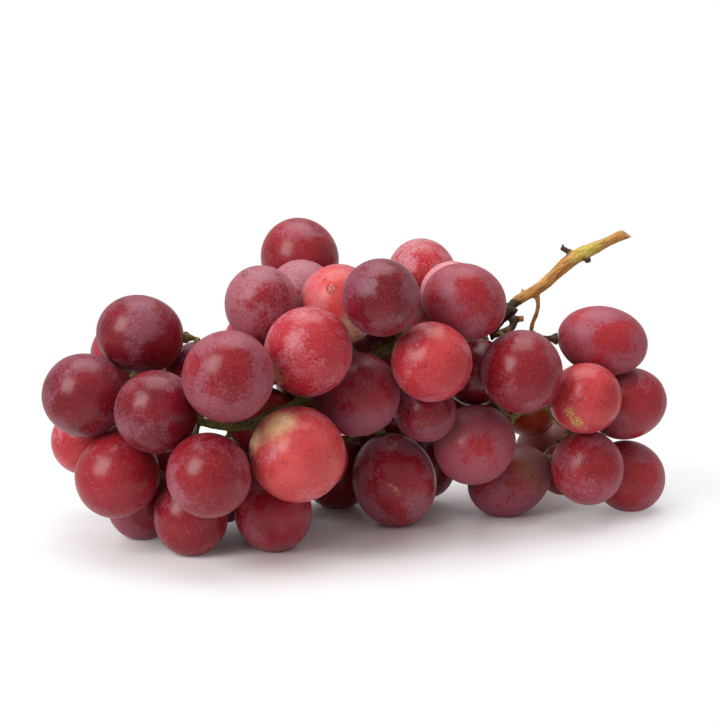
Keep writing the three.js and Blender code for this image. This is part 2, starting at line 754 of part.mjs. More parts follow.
function stalkMesh() {
  const stub = (rows) => rows.map((row) => ({ at: fromView(row), radius: row[3] }));
  const parts = [
    tubeGeometry(middleLine(STALK, LINE_STEP), MAIN_SIDES),
    tubeGeometry(middleLine(RIGHT_BRANCH, LINE_STEP), TWIG_SIDES),
    tubeGeometry(middleLine(KNOT_BRANCH, KNOT_STEP), TWIG_SIDES),
    ...[...STUBS, FORK_KNOT].map((rows) => tubeGeometry(stub(rows), TWIG_SIDES)),
    ...grapes.map((grape) => tubeGeometry(branchTo(grape), TWIG_SIDES)),
  ];
  let whole = parts.map(solidOf).reduce((sum, part) => sum.add(part));
  for (const grape of grapes) whole = whole.subtract(roomSolid(grape));
  whole = whole.subtract(cutOff());
  const material = new THREE.MeshStandardMaterial({
    color: STALK_COLOUR,
    roughness: STALK_ROUGHNESS,
    metalness: 0,
  });
  const mesh = new THREE.Mesh(geometryOf(whole), material);
  mesh.name = "stalk";
  return mesh;
}

const bunch = new THREE.Group();
bunch.add(stalkMesh());
for (const region of ["left", "middle", "right", "inner", "back"]) {
  const cluster = new THREE.Group();
  const members = grapes.filter((grape) => grape.name.startsWith(`grape_${region}_`));
  cluster.add(...members.map(grapeMesh));
  bunch.add(cluster);
}
const middle = new THREE.Box3().setFromObject(bunch, true).getCenter(new THREE.Vector3());
bunch.position.set(-middle.x, -middle.y, 0);

export default bunch;
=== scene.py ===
import json
import math
import random

import bmesh
import bpy
import numpy as np
from mathutils import Matrix, Vector, noise


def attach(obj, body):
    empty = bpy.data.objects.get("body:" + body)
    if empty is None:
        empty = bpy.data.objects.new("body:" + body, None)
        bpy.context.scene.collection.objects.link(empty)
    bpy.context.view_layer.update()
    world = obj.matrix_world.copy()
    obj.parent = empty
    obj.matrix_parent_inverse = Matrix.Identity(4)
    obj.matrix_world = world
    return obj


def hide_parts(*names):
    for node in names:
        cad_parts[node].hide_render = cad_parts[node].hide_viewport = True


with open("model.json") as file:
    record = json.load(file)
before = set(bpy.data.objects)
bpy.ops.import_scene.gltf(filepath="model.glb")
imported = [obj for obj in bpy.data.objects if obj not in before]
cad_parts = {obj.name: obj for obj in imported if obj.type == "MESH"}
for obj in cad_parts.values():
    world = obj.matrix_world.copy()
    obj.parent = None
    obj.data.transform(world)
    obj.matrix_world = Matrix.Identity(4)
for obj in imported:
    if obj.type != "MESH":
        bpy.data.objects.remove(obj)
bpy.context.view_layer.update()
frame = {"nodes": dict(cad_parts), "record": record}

MM = 0.001

# The camera looks at the bunch from its front, a little from above.
VIEW_ELEVATION = math.radians(11)
VIEW_DISTANCE = 0.720
LOOK_AT = Vector((-0.00063, 0.011523, 0.0498))
PIXEL = 0.31 * MM  # one pixel of the picture at the point looked at
PICTURE = (720, 721)

RIGHT = Vector((1, 0, 0))
AHEAD = Vector((0, math.cos(VIEW_ELEVATION), -math.sin(VIEW_ELEVATION)))
UP = RIGHT.cross(AHEAD)

# A grape's form: depths are shares of its radius, and angles in radians from the stem or the flower.
GRAPE_SPLITS = 5  # of an icosahedron: about 5,000 faces a grape
ABOUT_RADIUS = 10 * MM
FLAT_SPOT_CLEAR = 0.2 * MM  # over the table, the corners lie on the oval and not on the flat spot
UNEVEN = 0.011  # how far it departs from a true oval
SWELLS, SMALL_SWELLS, SMALL_SWELL_SHARE = 1.1, 2.7, 0.4  # swells in one radius, and how high they are
FULLER = 0.012  # towards the flower's end
STEM_HOLLOW, STEM_HOLLOW_ANGLE = 0.026, 0.22
FLOWER_HOLLOW, FLOWER_HOLLOW_ANGLE = 0.018, 0.16
FLOWER_SCAR, FLOWER_SCAR_ANGLE = 0.02, 0.06
STEM_NEAR = 1.3 * MM  # how close to the skin the stalk comes where it holds the grape
STEM_END = 0.75  # the cosine of how far round from the end of the oval that may be
PRESSED_HEIGHT = 0.05 * MM  # over the table, where a grape that lies on it is flat
RUBBED_LOSS = 0.75  # how much bloom a rubbed place loses
SCAR_EDGE = 1.2  # what the skin reads as the edge of a cork scar
PATTERN_STEP = Vector((37.0, 11.0, 23.0))  # millimetres from one grape's pattern to the next one's

# The stalk's form.
STALK_VOXEL = 0.42 * MM
RIB_HEIGHT = 0.16 * MM
RIBS_PER_MM = 1.1
FINE_RIBS_PER_MM = 2.4
FIBRE_RUN = 0.82  # the share of a step along the stalk that leaves its ribs as they are
SIDE_TWIG_WIDTH = 2.3 * MM
SIDE_TWIG_TIP = 0.84  # of its width
DISC_ANGLE = 0.42  # how far round from the stem a woody disc reaches
DISC_GAP = 0.06 * MM  # between a woody disc and the skin, once it is drawn down to it
DISC_NEAR = 1.2 * MM  # from the skin, where a disc starts to be drawn down
DISC_FADE = 0.5 * MM  # over which it reaches the skin

# The stalk's bark is bare and tan in the light, right of BARE_RIGHT and over BARE_ABOVE.
BARE_RIGHT, BARE_RIGHT_FADE = 43 * MM, 3 * MM
BARE_ABOVE, BARE_ABOVE_FADE = 7.5 * MM, 2 * MM

TABLE_RADIUS = 0.75
ROOM_LIGHT = 0.52
# The way from the bunch to each lamp, its distance, width and height in metres, and its watts.
LAMPS = {
    "key": ((-0.60, -0.56, 0.553), 1.3, 0.7, 0.9, 12.3),
    "top": ((0.0, 0.22, 1.0), 1.3, 1.1, 1.0, 10.4),
}


def towards(x, y):
    """The direction of the place on a grape that shows at (x, y), in radii from its middle."""
    depth = math.sqrt(max(0.0, 1 - x * x - y * y))
    return x * RIGHT + y * UP - depth * AHEAD


def colour(code):
    """A linear colour with alpha from an sRGB code such as #a0341c."""
    parts = [int(code[i : i + 2], 16) / 255 for i in (1, 3, 5)]
    linear = [p / 12.92 if p <= 0.04045 else ((p + 0.055) / 1.055) ** 2.4 for p in parts]
    return (*linear, 1.0)


def add(tree, kind, inputs, output=0, **settings):
    """Adds a node, sets or links its inputs, and returns one of its output sockets, if it has any."""
    node = tree.nodes.new(kind)
    for name, value in settings.items():
        setattr(node, name, value)
    for name, value in inputs.items():
        socket = node.inputs[name]
        if isinstance(value, bpy.types.NodeSocket):
            tree.links.new(value, socket)
        else:
            socket.default_value = value
    return node.outputs[output] if node.outputs else None


def new_material(name):
    material = bpy.data.materials.new(name)
    material.use_nodes = True
    material.node_tree.nodes.clear()
    return material, material.node_tree


# Materials: a place is in millimetres, so a pattern's scale is how often it repeats in a millimetre.
# A mix of two colours has its share as input 0, the colours as inputs 6 and 7, and output 2.


def grape_skin(name, deep, bright, bloom, unripe):
    """Grape skin under its bloom: a thin wax that scatters light and is rubbed off in patches."""
    material, tree = new_material(name)
    noise_kind, math_kind = "ShaderNodeTexNoise", "ShaderNodeMath"
    ramp_kind, mix_kind = "ShaderNodeMapRange", "ShaderNodeMix"
    # The place on the grape in millimetres, moved by a different distance for every grape.
    place = add(tree, "ShaderNodeAttribute", {}, "Vector", attribute_name="skin")
    tone = add(tree, "ShaderNodeAttribute", {}, "Fac", attribute_name="tone")
    cover = add(tree, "ShaderNodeAttribute", {}, "Fac", attribute_name="bloom")
    pale = add(tree, "ShaderNodeAttribute", {}, "Fac", attribute_name="pale")
    scar = add(tree, "ShaderNodeAttribute", {}, "Fac", attribute_name="scar")

    # Pigment lies in cells under the skin: clouds 8 mm across, with finer ones of 1.5 mm in them.
    clouds = add(tree, noise_kind, {"Vector": place, "Scale": 0.12, "Detail": 2.0})
    mottle = add(tree, noise_kind, {"Vector": place, "Scale": 0.65, "Detail": 4.0, "Roughness": 0.6})
    ripe = add(tree, math_kind, {0: mottle, 1: 0.5, 2: clouds}, operation="MULTIPLY_ADD")
    ripe = add(tree, math_kind, {0: ripe, 1: tone}, operation="ADD")
    ripe = add(tree, ramp_kind, {"Value": ripe, "From Min": 0.5, "From Max": 1.5})
    skin = add(tree, mix_kind, {0: ripe, 6: colour(deep), 7: colour(bright)}, 2, data_type="RGBA")

    # The end at the stem, and a side that lay in the shade, colour last.
    pale = add(tree, math_kind, {0: mottle, 1: 0.7, 2: pale}, operation="MULTIPLY_ADD")
    pale = add(tree, ramp_kind, {"Value": pale, "From Min": 0.45, "From Max": 1.25, "To Max": 0.85})
    skin = add(tree, mix_kind, {0: pale, 6: skin, 7: colour(unripe)}, 2, data_type="RGBA")

    # Bloom thins out in clouds of 9 mm, with ragged edges of 2.4 mm and then specks of 0.7 mm.
    patch = add(tree, noise_kind, {"Vector": place, "Scale": 0.11, "Detail": 1.0})
    ragged = add(tree, noise_kind, {"Vector": place, "Scale": 0.42, "Detail": 5.0, "Roughness": 0.7})
    speck = add(tree, noise_kind, {"Vector": place, "Scale": 1.5, "Detail": 3.0, "Roughness": 0.65})
    wax = add(tree, math_kind, {0: patch, 1: 2.2, 2: cover}, operation="MULTIPLY_ADD")
    wax = add(tree, math_kind, {0: ragged, 1: 1.9, 2: wax}, operation="MULTIPLY_ADD")
    wax = add(tree, math_kind, {0: speck, 1: 1.1, 2: wax}, operation="MULTIPLY_ADD")
    wax = add(tree, ramp_kind, {"Value": wax, "From Min": 2.43, "From Max": 2.95})
    # Where it is thin it has dried to a net of pale flecks.
    flecks = add(tree, ramp_kind, {"Value": speck, "From Min": 0.5, "From Max": 0.64, "To Max": 0.24})

    # Pores 1.6 mm apart: some have lost their wax and dried dark, the rest are pale pin points.
    cell = {"Vector": place, "Scale": 0.62}
    pore = add(tree, "ShaderNodeTexVoronoi", cell)
    chance = add(tree, "ShaderNodeTexVoronoi", cell, "Color")
    wide = add(tree, ramp_kind, {"Value": chance, "From Min": 0.15, "From Max": 1.0, "To Max": 0.26})
    dried = add(tree, math_kind, {0: pore, 1: wide}, operation="LESS_THAN")
    pin = {"Value": pore, "From Min": 0.05, "From Max": 0.09, "To Min": 0.3, "To Max": 0.0}
    pin = add(tree, ramp_kind, pin)
    skin = add(tree, mix_kind, {0: pin, 6: skin, 7: colour("#d9998a")}, 2, data_type="RGBA")

    # Bloom itself is uneven: thick and thin from one millimetre to the next. It looks pinker on the
    # palest grapes.
    thick = {"Value": speck, "From Min": 0.36, "From Max": 0.62, "To Min": 0.44, "To Max": 0.7}
    thick = add(tree, ramp_kind, thick)
    veil = add(tree, math_kind, {0: wax, 1: thick, 2: flecks}, operation="MULTIPLY_ADD")
    frost = add(tree, ramp_kind, {"Value": tone, "From Min": 0.35, "From Max": 0.9, "To Max": 0.8})
    frost = add(tree, mix_kind, {0: frost, 6: colour(bloom), 7: colour("#e6b0b8")}, 2, data_type="RGBA")
    skin = add(tree, mix_kind, {0: veil, 6: skin, 7: frost}, 2, data_type="RGBA")
    spot = add(tree, math_kind, {0: dried, 1: 0.6}, operation="MULTIPLY")
    skin = add(tree, mix_kind, {0: spot, 6: skin, 7: colour("#4a0d18")}, 2, data_type="RGBA")

    # Russet: corky scars where a leaf or a twig chafed the young skin.
    cork = add(tree, math_kind, {0: speck, 1: 4.2, 2: scar}, operation="MULTIPLY_ADD")
    cork = {"Value": cork, "From Min": 3.2, "From Max": 3.4, "To Min": 1.0, "To Max": 0.0}
    cork = add(tree, ramp_kind, cork)
    crust = add(tree, ramp_kind, {"Value": speck, "From Min": 0.35, "From Max": 0.6})
    crust = {0: crust, 6: colour("#e2a862"), 7: colour("#8a4a24")}
    crust = add(tree, mix_kind, crust, 2, data_type="RGBA")
    skin = add(tree, mix_kind, {0: cork, 6: skin, 7: crust}, 2, data_type="RGBA")

    # Wax is dull where it is thick, and the skin under it is smooth.
    rough = add(tree, ramp_kind, {"Value": wax, "To Min": 0.27, "To Max": 0.46})
    height = add(tree, noise_kind, {"Vector": place, "Scale": 0.9, "Detail": 3.0})
    height = add(tree, math_kind, {0: speck, 1: 0.6, 2: height}, operation="MULTIPLY_ADD")
    height = add(tree, math_kind, {0: cork, 1: 1.5, 2: height}, operation="MULTIPLY_ADD")
    normal = add(tree, "ShaderNodeBump", {"Height": height, "Strength": 0.2, "Distance": 0.12 * MM})
    shader = {
        "Base Color": skin,
        "Roughness": rough,
        "Normal": normal,
        "IOR": 1.4,
        "Subsurface Weight": 0.15,
        "Subsurface Radius": (1.0, 0.2, 0.14),
        "Subsurface Scale": 2.5 * MM,
        "Sheen Weight": 0.05,
        "Sheen Roughness": 0.4,
        "Sheen Tint": colour("#f2d3da"),
    }
    surface = add(tree, "ShaderNodeBsdfPrincipled", shader)
    add(tree, "ShaderNodeOutputMaterial", {"Surface": surface})
    return material


def stalk_wood(name):
    """A grape stalk: green and ribbed while it feeds the fruit, brown and corky as it dries."""
    material, tree = new_material(name)
    noise_kind, math_kind = "ShaderNodeTexNoise", "ShaderNodeMath"
    ramp_kind, mix_kind = "ShaderNodeMapRange", "ShaderNodeMix"
    # Along the fibres this place runs slowly, so that ribs and cracks run with them: ribs 0.7 mm
    # apart, and cracks of 0.2 mm.
    fibre = add(tree, "ShaderNodeAttribute", {}, "Vector", attribute_name="fibre")
    green = add(tree, "ShaderNodeAttribute", {}, "Fac", attribute_name="green")
    dried = add(tree, "ShaderNodeAttribute", {}, "Fac", attribute_name="dried")
    cut = add(tree, "ShaderNodeAttribute", {}, "Fac", attribute_name="cut")
    yellow = add(tree, "ShaderNodeAttribute", {}, "Fac", attribute_name="yellow")
    ribs = add(tree, noise_kind, {"Vector": fibre, "Scale": 1.5, "Detail": 4.0, "Roughness": 0.62})
    fine = add(tree, noise_kind, {"Vector": fibre, "Scale": 5.0, "Detail": 3.0, "Roughness": 0.6})
    # Colour runs with the ribs, which the bump below raises from the same noise: the bark's own
    # streaks, plus a painted highlight on the raised ribs and painted shade in the grooves between
    # them.
    rib_streaks_and_shading = add(tree, ramp_kind, {"Value": ribs, "From Min": 0.34, "From Max": 0.66})
    tan = {0: rib_streaks_and_shading, 6: colour("#8a5420"), 7: colour("#d79c4c")}
    tan = add(tree, mix_kind, tan, 2, data_type="RGBA")
    fresh = {0: rib_streaks_and_shading, 6: colour("#3f3a16"), 7: colour("#8a8238")}
    fresh = add(tree, mix_kind, fresh, 2, data_type="RGBA")
    sappy = {0: rib_streaks_and_shading, 6: colour("#a8882e"), 7: colour("#d9c75a")}
    sappy = add(tree, mix_kind, sappy, 2, data_type="RGBA")
    bark = add(tree, mix_kind, {0: green, 6: tan, 7: fresh}, 2, data_type="RGBA")
    bark = add(tree, mix_kind, {0: yellow, 6: bark, 7: sappy}, 2, data_type="RGBA")
    dark = add(tree, math_kind, {0: ribs, 1: 0.5, 2: dried}, operation="MULTIPLY_ADD")
    dark = add(tree, ramp_kind, {"Value": dark, "From Min": 0.55, "From Max": 0.95})
    shrunk = {0: fine, 6: colour("#1f1007"), 7: colour("#56371b")}
    shrunk = add(tree, mix_kind, shrunk, 2, data_type="RGBA")
    bark = add(tree, mix_kind, {0: dark, 6: bark, 7: shrunk}, 2, data_type="RGBA")
    pith = {0: fine, 6: colour("#a8743a"), 7: colour("#dcb078")}
    pith = add(tree, mix_kind, pith, 2, data_type="RGBA")
    bark = add(tree, mix_kind, {0: cut, 6: bark, 7: pith}, 2, data_type="RGBA")
    rough = {"Value": ribs, "From Min": 0.2, "From Max": 0.8, "To Min": 0.5, "To Max": 0.75}
    rough = add(tree, ramp_kind, rough)
    height = add(tree, math_kind, {0: fine, 1: 0.4, 2: ribs}, operation="MULTIPLY_ADD")
    normal = add(tree, "ShaderNodeBump", {"Height": height, "Strength": 0.75, "Distance": 0.35 * MM})
    shader = {
        "Base Color": bark,
        "Roughness": rough,
        "Normal": normal,
        "Subsurface Weight": 0.06,
        "Subsurface Radius": (1.0, 0.7, 0.3),
        "Subsurface Scale": 0.8 * MM,
    }
    surface = add(tree, "ShaderNodeBsdfPrincipled", shader)
    add(tree, "ShaderNodeOutputMaterial", {"Surface": surface})
    return material


def water(name):
    """Clear water, which bends the light onto the skin under it."""
    material, tree = new_material(name)
    shader = {
        "Base Color": colour("#ffffff"),
        "Roughness": 0.02,
        "IOR": 1.333,
        "Transmission Weight": 1.0,
    }
    surface = add(tree, "ShaderNodeBsdfPrincipled", shader)
    add(tree, "ShaderNodeOutputMaterial", {"Surface": surface})
    return material


def white_acrylic(name):
    """White acrylic over a light table: faintly glossy, lit by the lamps and glowing further out."""
    material, tree = new_material(name)
    place = add(tree, "ShaderNodeTexCoord", {}, "Object")
    away = add(tree, "ShaderNodeVectorMath", {0: place}, "Value", operation="LENGTH")
    glow = add(tree, "ShaderNodeMapRange", {"Value": away, "From Min": 0.05, "From Max": 0.2})
    sheet = add(tree, "ShaderNodeBsdfDiffuse", {"Color": colour("#fbfbfb")})
    gloss = add(tree, "ShaderNodeBsdfGlossy", {"Color": colour("#ffffff"), "Roughness": 0.3})
    sheet = add(tree, "ShaderNodeMixShader", {0: 0.1, 1: sheet, 2: gloss})
    # Beyond the bunch it is white for the camera, and dimmer for what the grapes mirror.
    seen = add(tree, "ShaderNodeLightPath", {}, "Is Camera Ray")
    power = add(tree, "ShaderNodeMapRange", {"Value": seen, "To Min": 0.6, "To Max": 1.0})
    light = add(tree, "ShaderNodeEmission", {"Color": colour("#ffffff"), "Strength": power})
    surface = add(tree, "ShaderNodeMixShader", {0: glow, 1: sheet, 2: light})
    add(tree, "ShaderNodeOutputMaterial", {"Surface": surface})
    return material


# For each slot the deepest and the brightest pigment, the bloom, and the unripe side.
SKINS = {
    "dark_grape": grape_skin("dark_skin", "#6a0a14", "#a01c2a", "#8e5265", "#8c6a3c"),
    "red_grape": grape_skin("red_skin", "#85101a", "#b92a33", "#9c5a6b", "#96642f"),
    "light_grape": grape_skin("light_skin", "#b02630", "#dc5650", "#c47480", "#f8d49c"),
    "amber_grape": grape_skin("amber_skin", "#9e2412", "#c05028", "#b0685a", "#b8843a"),
    "green_grape": grape_skin("green_skin", "#8a4a34", "#a98548", "#b27a7c", "#a89a5c"),
}


# Grapes

# Places as they show from the front, in radii from the middle of the grape: (x, y, size) where the
# bloom is rubbed off, and where the skin stayed pale.
RUBBED = {
    "grape_left_01": [(-0.72, -0.05, 0.45), (0.55, -0.38, 0.42)],
    "grape_left_03": [(0.22, 0.16, 0.26), (0.8, -0.2, 0.4)],
    "grape_left_11": [(-0.75, 0.3, 0.24), (0.14, 0.12, 0.42)],
    "grape_middle_02": [(0.2, -0.1, 0.5), (-0.6, -0.4, 0.35)],
    "grape_middle_05": [(0.35, 0.1, 0.48)],
    "grape_middle_06": [(0.25, 0.0, 0.4), (-0.55, -0.45, 0.3)],
}
PALE = {
    "grape_middle_12": [(-0.42, 0.66, 0.34), (-0.88, 0.32, 0.26)],
    "grape_middle_05": [(-0.85, -0.45, 0.3)],
    "grape_middle_04": [(0.35, -0.75, 0.5)],
    "grape_middle_18": [(0.7, 0.5, 0.6)],
    "grape_middle_16": [(-0.72, 0.4, 0.42)],
}
# On the other grapes the bloom is thinned at the front, the side that faces the camera.
RUBBED_FRONT = [(0.22, -0.02, 0.52)]
# How light the pigment of a grape is and how much bloom it keeps, each from -1 to 1.
LOOKS = {
    "grape_left_01": (-0.05, 0.15),
    "grape_left_02": (-0.05, -0.1),
    "grape_left_03": (-0.05, 0.0),
    "grape_left_04": (-0.2, -0.2),
    "grape_left_05": (0.0, -0.3),
    "grape_left_07": (-0.3, -0.1),
    "grape_left_08": (-0.4, -0.15),
    "grape_left_11": (-0.2, 0.2),
    "grape_middle_01": (0.5, 0.45),
    "grape_middle_02": (-0.1, -0.1),
    "grape_middle_03": (0.6, 0.8),
    "grape_middle_04": (0.3, 0.1),
    "grape_middle_05": (-0.5, 0.1),
    "grape_middle_06": (-0.1, 0.15),
    "grape_middle_07": (0.7, 0.3),
    "grape_middle_08": (0.9, 0.8),
    "grape_middle_09": (0.1, 0.25),
    "grape_middle_10": (-0.1, -0.1),
    "grape_middle_11": (0.2, 0.4),
    "grape_middle_12": (0.2, -0.32),
    "grape_middle_13": (-0.1, 0.1),
    "grape_middle_14": (0.5, 0.1),
    "grape_middle_15": (0.0, 0.2),
    "grape_middle_16": (0.25, 0.65),
    "grape_middle_17": (-0.45, 0.0),
    "grape_middle_18": (0.3, 0.4),
    "grape_right_01": (0.3, 0.3),
    "grape_right_02": (-0.1, -0.15),
    "grape_right_03": (0.2, 0.25),
    "grape_right_04": (-0.1, 0.1),
    "grape_right_05": (0.25, 0.1),
    "grape_right_06": (0.0, 0.5),
    "grape_right_07": (0.25, -0.3),
}
# Cork scars: x and y in radii as above, and how far they reach from there in millimetres.
SCARS = {
    "grape_right_02": [(-0.5, -0.36, 1.6), (-0.3, -0.66, 1.9)],
    "grape_middle_14": [(0.03, -0.15, 0.5), (-0.1, -0.08, 0.3), (0.1, -0.28, 0.3)],
}


def points_of(mesh):
    found = np.empty(len(mesh.vertices) * 3)
    mesh.vertices.foreach_get("co", found)
    return found.reshape(-1, 3)


def oval_of(points):
    """The centre, half length, half width and long axis of the oval that a grape's corners lie on."""
    clear = points[points[:, 2] > FLAT_SPOT_CLEAR]
    middle = clear.mean(axis=0)
    scaled = (clear - middle) / ABOUT_RADIUS
    x, y, z = scaled.T
    terms = np.column_stack([x * x, y * y, z * z, 2 * x * y, 2 * x * z, 2 * y * z, x, y, z])
    a = np.linalg.lstsq(terms, np.ones(len(terms)), rcond=None)[0]
    square = np.array([[a[0], a[3], a[4]], [a[3], a[1], a[5]], [a[4], a[5], a[2]]])
    centre = -0.5 * np.linalg.solve(square, a[6:])
    values, vectors = np.linalg.eigh(square / (1 + centre @ square @ centre))
    halves = ABOUT_RADIUS / np.sqrt(values)
    wide = math.sqrt(halves[1] * halves[2])
    return Vector(middle + centre * ABOUT_RADIUS), halves[0], wide, Vector(vectors[:, 0])


stalk_node = frame["nodes"]["stalk"]
stalk_points = points_of(stalk_node.data)


def stem_direction(centre, long, wide, axis):
    """Where the woody disc sits: the middle of the stalk's points close to the skin at one end."""
    away = stalk_points - np.array(centre)
    distances = np.linalg.norm(away, axis=1)
    along = away @ np.array(axis) / distances
    skin = 1 / np.sqrt((1 - along**2) / wide**2 + along**2 / long**2)
    close = (distances - skin < STEM_NEAR) & (np.abs(along) > STEM_END)
    if not close.any():
        return -axis
    side = np.sign(np.median(along[close]))
    near = away[close & (along * side > 0)]
    return Vector(near.mean(axis=0)).normalized()


def bump_at(angle, width):
    """1 at the middle of a round spot, 0 from its edge on."""
    share = min(1.0, angle / width)
    return (1 - share * share) ** 2


def spot_field(directions, spots):
    """How deep each direction lies in a spot: 1 in the third at its middle, 0 from 1.7 sizes on."""
    deepest = np.zeros(len(directions))
    for x, y, size in spots:
        apart = np.linalg.norm(directions - np.array(towards(x, y)), axis=1)
        deepest = np.maximum(deepest, np.clip(1.25 - 0.75 * apart / size, 0, 1))
    return deepest


def scar_field(directions, radius, spots):
    """Millimetres from the nearest scar, counted up from SCAR_EDGE at its edge and down inside it."""
    nearest = np.full(len(directions), 9.0)
    for x, y, size in spots:
        apart = np.linalg.norm(directions - np.array(towards(x, y)), axis=1) * radius / MM
        nearest = np.minimum(nearest, apart - size + SCAR_EDGE)
    return nearest


def store(mesh, name, kind, values):
    attribute = mesh.attributes.new(name, kind, "POINT")
    key = "vector" if kind == "FLOAT_VECTOR" else "value"
    attribute.data.foreach_set(key, np.asarray(values, dtype=np.float32).ravel())


ovals = {}  # the centre, half length, half width, long axis and stem direction of every grape


def make_grape(node_name, slot, number):
    chance = random.Random(number)
    tone, bloom = LOOKS.get(node_name, (chance.uniform(-0.25, 0.25), chance.uniform(-0.25, 0.2)))
    centre, long, wide, axis = oval_of(points_of(frame["nodes"][node_name].data))
    stem = stem_direction(centre, long, wide, axis)
    ovals[node_name] = (centre, long, wide, axis, stem)
    if axis.dot(stem) > 0:
        axis = -axis
    turn = Vector((0, 0, 1)).rotation_difference(axis).to_matrix()
    local_stem = turn.inverted() @ stem
    offset = PATTERN_STEP * number

    shape = bmesh.new()
    bmesh.ops.create_icosphere(shape, subdivisions=GRAPE_SPLITS, radius=1.0)
    directions = []
    for vertex in shape.verts:
        n = vertex.co.normalized()
        swell = noise.noise(n * SWELLS + offset)
        swell += SMALL_SWELL_SHARE * noise.noise(n * SMALL_SWELLS + offset)
        uneven = 1 + UNEVEN * swell + FULLER * n.z * (1 - n.z * n.z)
        # The hollow round the stem, and the small scar of the flower in its own hollow.
        uneven -= STEM_HOLLOW * bump_at(n.angle(local_stem), STEM_HOLLOW_ANGLE)
        at_flower = n.angle(Vector((0, 0, 1)))
        uneven -= FLOWER_HOLLOW * bump_at(at_flower, FLOWER_HOLLOW_ANGLE)
        uneven += FLOWER_SCAR * bump_at(at_flower, FLOWER_SCAR_ANGLE)
        local = Vector((n.x * wide, n.y * wide, n.z * long)) * uneven
        world = turn @ local + centre
        # Where the grape lies on the table it is pressed flat.
        if world.z < PRESSED_HEIGHT:
            world.z = PRESSED_HEIGHT
            local = turn.inverted() @ (world - centre)
        vertex.co = local
        directions.append((turn @ local).normalized())
    mesh = bpy.data.meshes.new(node_name)
    shape.to_mesh(mesh)
    shape.free()
    mesh.polygons.foreach_set("use_smooth", [True] * len(mesh.polygons))

    local = points_of(mesh) / MM
    directions = np.array(directions)
    # The end at the stem is paler, to 0.7 radians from it.
    from_stem = np.arccos(np.clip(directions @ np.array(stem), -1, 1))
    pale = np.clip(0.62 - from_stem / 1.1, 0, 1) * 0.8
    pale = np.maximum(pale, spot_field(directions, PALE.get(node_name, [])))
    rubbed = RUBBED.get(node_name, RUBBED_FRONT)
    store(mesh, "skin", "FLOAT_VECTOR", local + np.array(offset))
    store(mesh, "pale", "FLOAT", pale)
    store(mesh, "bloom", "FLOAT", bloom - RUBBED_LOSS * spot_field(directions, rubbed))
    store(mesh, "tone", "FLOAT", np.full(len(local), tone))
    store(mesh, "scar", "FLOAT", scar_field(directions, wide, SCARS.get(node_name, [])))
    mesh.materials.append(SKINS[slot])

    mesh.transform(Matrix.LocRotScale(centre, turn.to_quaternion(), None))
    piece = bpy.data.objects.new("skin_" + node_name, mesh)
    bpy.context.scene.collection.objects.link(piece)
    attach(piece, "root")
    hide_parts(node_name)


slots = {part["node"]: part["material_slot"] for part in frame["record"]["subparts"]}
grape_names = sorted(name for name in slots if name.startswith("grape_"))
for number, name in enumerate(grape_names, start=1):
    make_grape(name, slots[name], number)


# Drops of water: the grape, the place on it as it shows from the front in its radii, and the drop's
# radius in millimetres.
DROPS = [
    ("grape_middle_04", -0.18, 0.36, 1.4),
    ("grape_middle_01", -0.4, 0.77, 1.1),
    ("grape_right_04", -0.17, 0.18, 0.8),
]
DROP_HEIGHT = 0.55  # of its radius, over the skin
DROP_LENGTH = 1.15  # of its width


def make_drop(number, grape, x, y, radius, material):
    centre, long, wide, axis, _ = ovals[grape]
    out = towards(x, y).normalized()
    along = out.dot(axis) ** 2
    skin = 1 / math.sqrt((1 - along) / wide**2 + along / long**2)
    # The skin's own slope, so that the drop lies flat on it.
    slope = (out - axis * out.dot(axis)) / wide**2 + axis * out.dot(axis) / long**2
    shape = bmesh.new()
    bmesh.ops.create_icosphere(shape, subdivisions=3, radius=radius * MM)
    mesh = bpy.data.meshes.new(f"drop_{number}")
    shape.to_mesh(mesh)
    shape.free()
    mesh.polygons.foreach_set("use_smooth", [True] * len(mesh.polygons))
    turn = Vector((0, 0, 1)).rotation_difference(slope)
    flat = Vector((1, DROP_LENGTH, DROP_HEIGHT))
    mesh.transform(Matrix.LocRotScale(centre + out * skin, turn, flat))
    mesh.materials.append(material)
    piece = bpy.data.objects.new(f"drop_{number}", mesh)
    bpy.context.scene.collection.objects.link(piece)
    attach(piece, "root")


clear_water = water("water")
for number, drop in enumerate(DROPS, start=1):
    make_drop(number, *drop, clear_water)


# Stalk

# The way that the fibres of the bare stalk run, from the bunch to the cut end.
STALK_WAY = (37.0 * RIGHT + 22.6 * UP).normalized()
# Where it dried to a dark knot or stub: the pixel that shows it, how many millimetres it lies behind
# the point looked at, how far it reaches in millimetres, and how strong it is.
DRIED = [
    (504, 313, -15, 8, 1.7),
    (500, 320, -8, 7, 1.6),
    (505, 314, 6, 6.5, 2.6),
    (513, 310, 6, 4.5, 2.2),
    (516, 315, 5.5, 2.2, 1.6),
    (513, 325, 5, 3.5, 1.5),
    (500, 328, 4, 4, 1.4),
    (491, 334, 2, 4, 1.4),
    (562, 247, 9, 4.5, 1.5),
    (588, 263, 8.8, 3.0, 1.5),
    (543, 334, 4, 6, 1.3),
    (557, 334, 3, 4.5, 1.4),
    (524, 289, 8, 1.2, 0.6),
    (550, 367, 8, 9, 1.5),
    (508, 366, 4, 8, 1.1),
]


def seen_at(x, y, back):
    """The point that shows at a pixel of the picture, so far behind the point looked at."""
    spread = 1 + back * MM / VIEW_DISTANCE
    across = (x - PICTURE[0] / 2) * PIXEL * spread
    rise = (PICTURE[1] / 2 - y) * PIXEL * spread
    return LOOK_AT + across * RIGHT + rise * UP + back * MM * AHEAD


def field(points, spots):
    """The strongest of the spots at every point, which fade out at their reach."""
    strongest = np.zeros(len(points))
    for x, y, back, reach, strength in spots:
        apart = np.linalg.norm(points - np.array(seen_at(x, y, back)), axis=1)
        strongest = np.maximum(strongest, strength * (1 - apart / (reach * MM)))
    return np.minimum(strongest, 1)


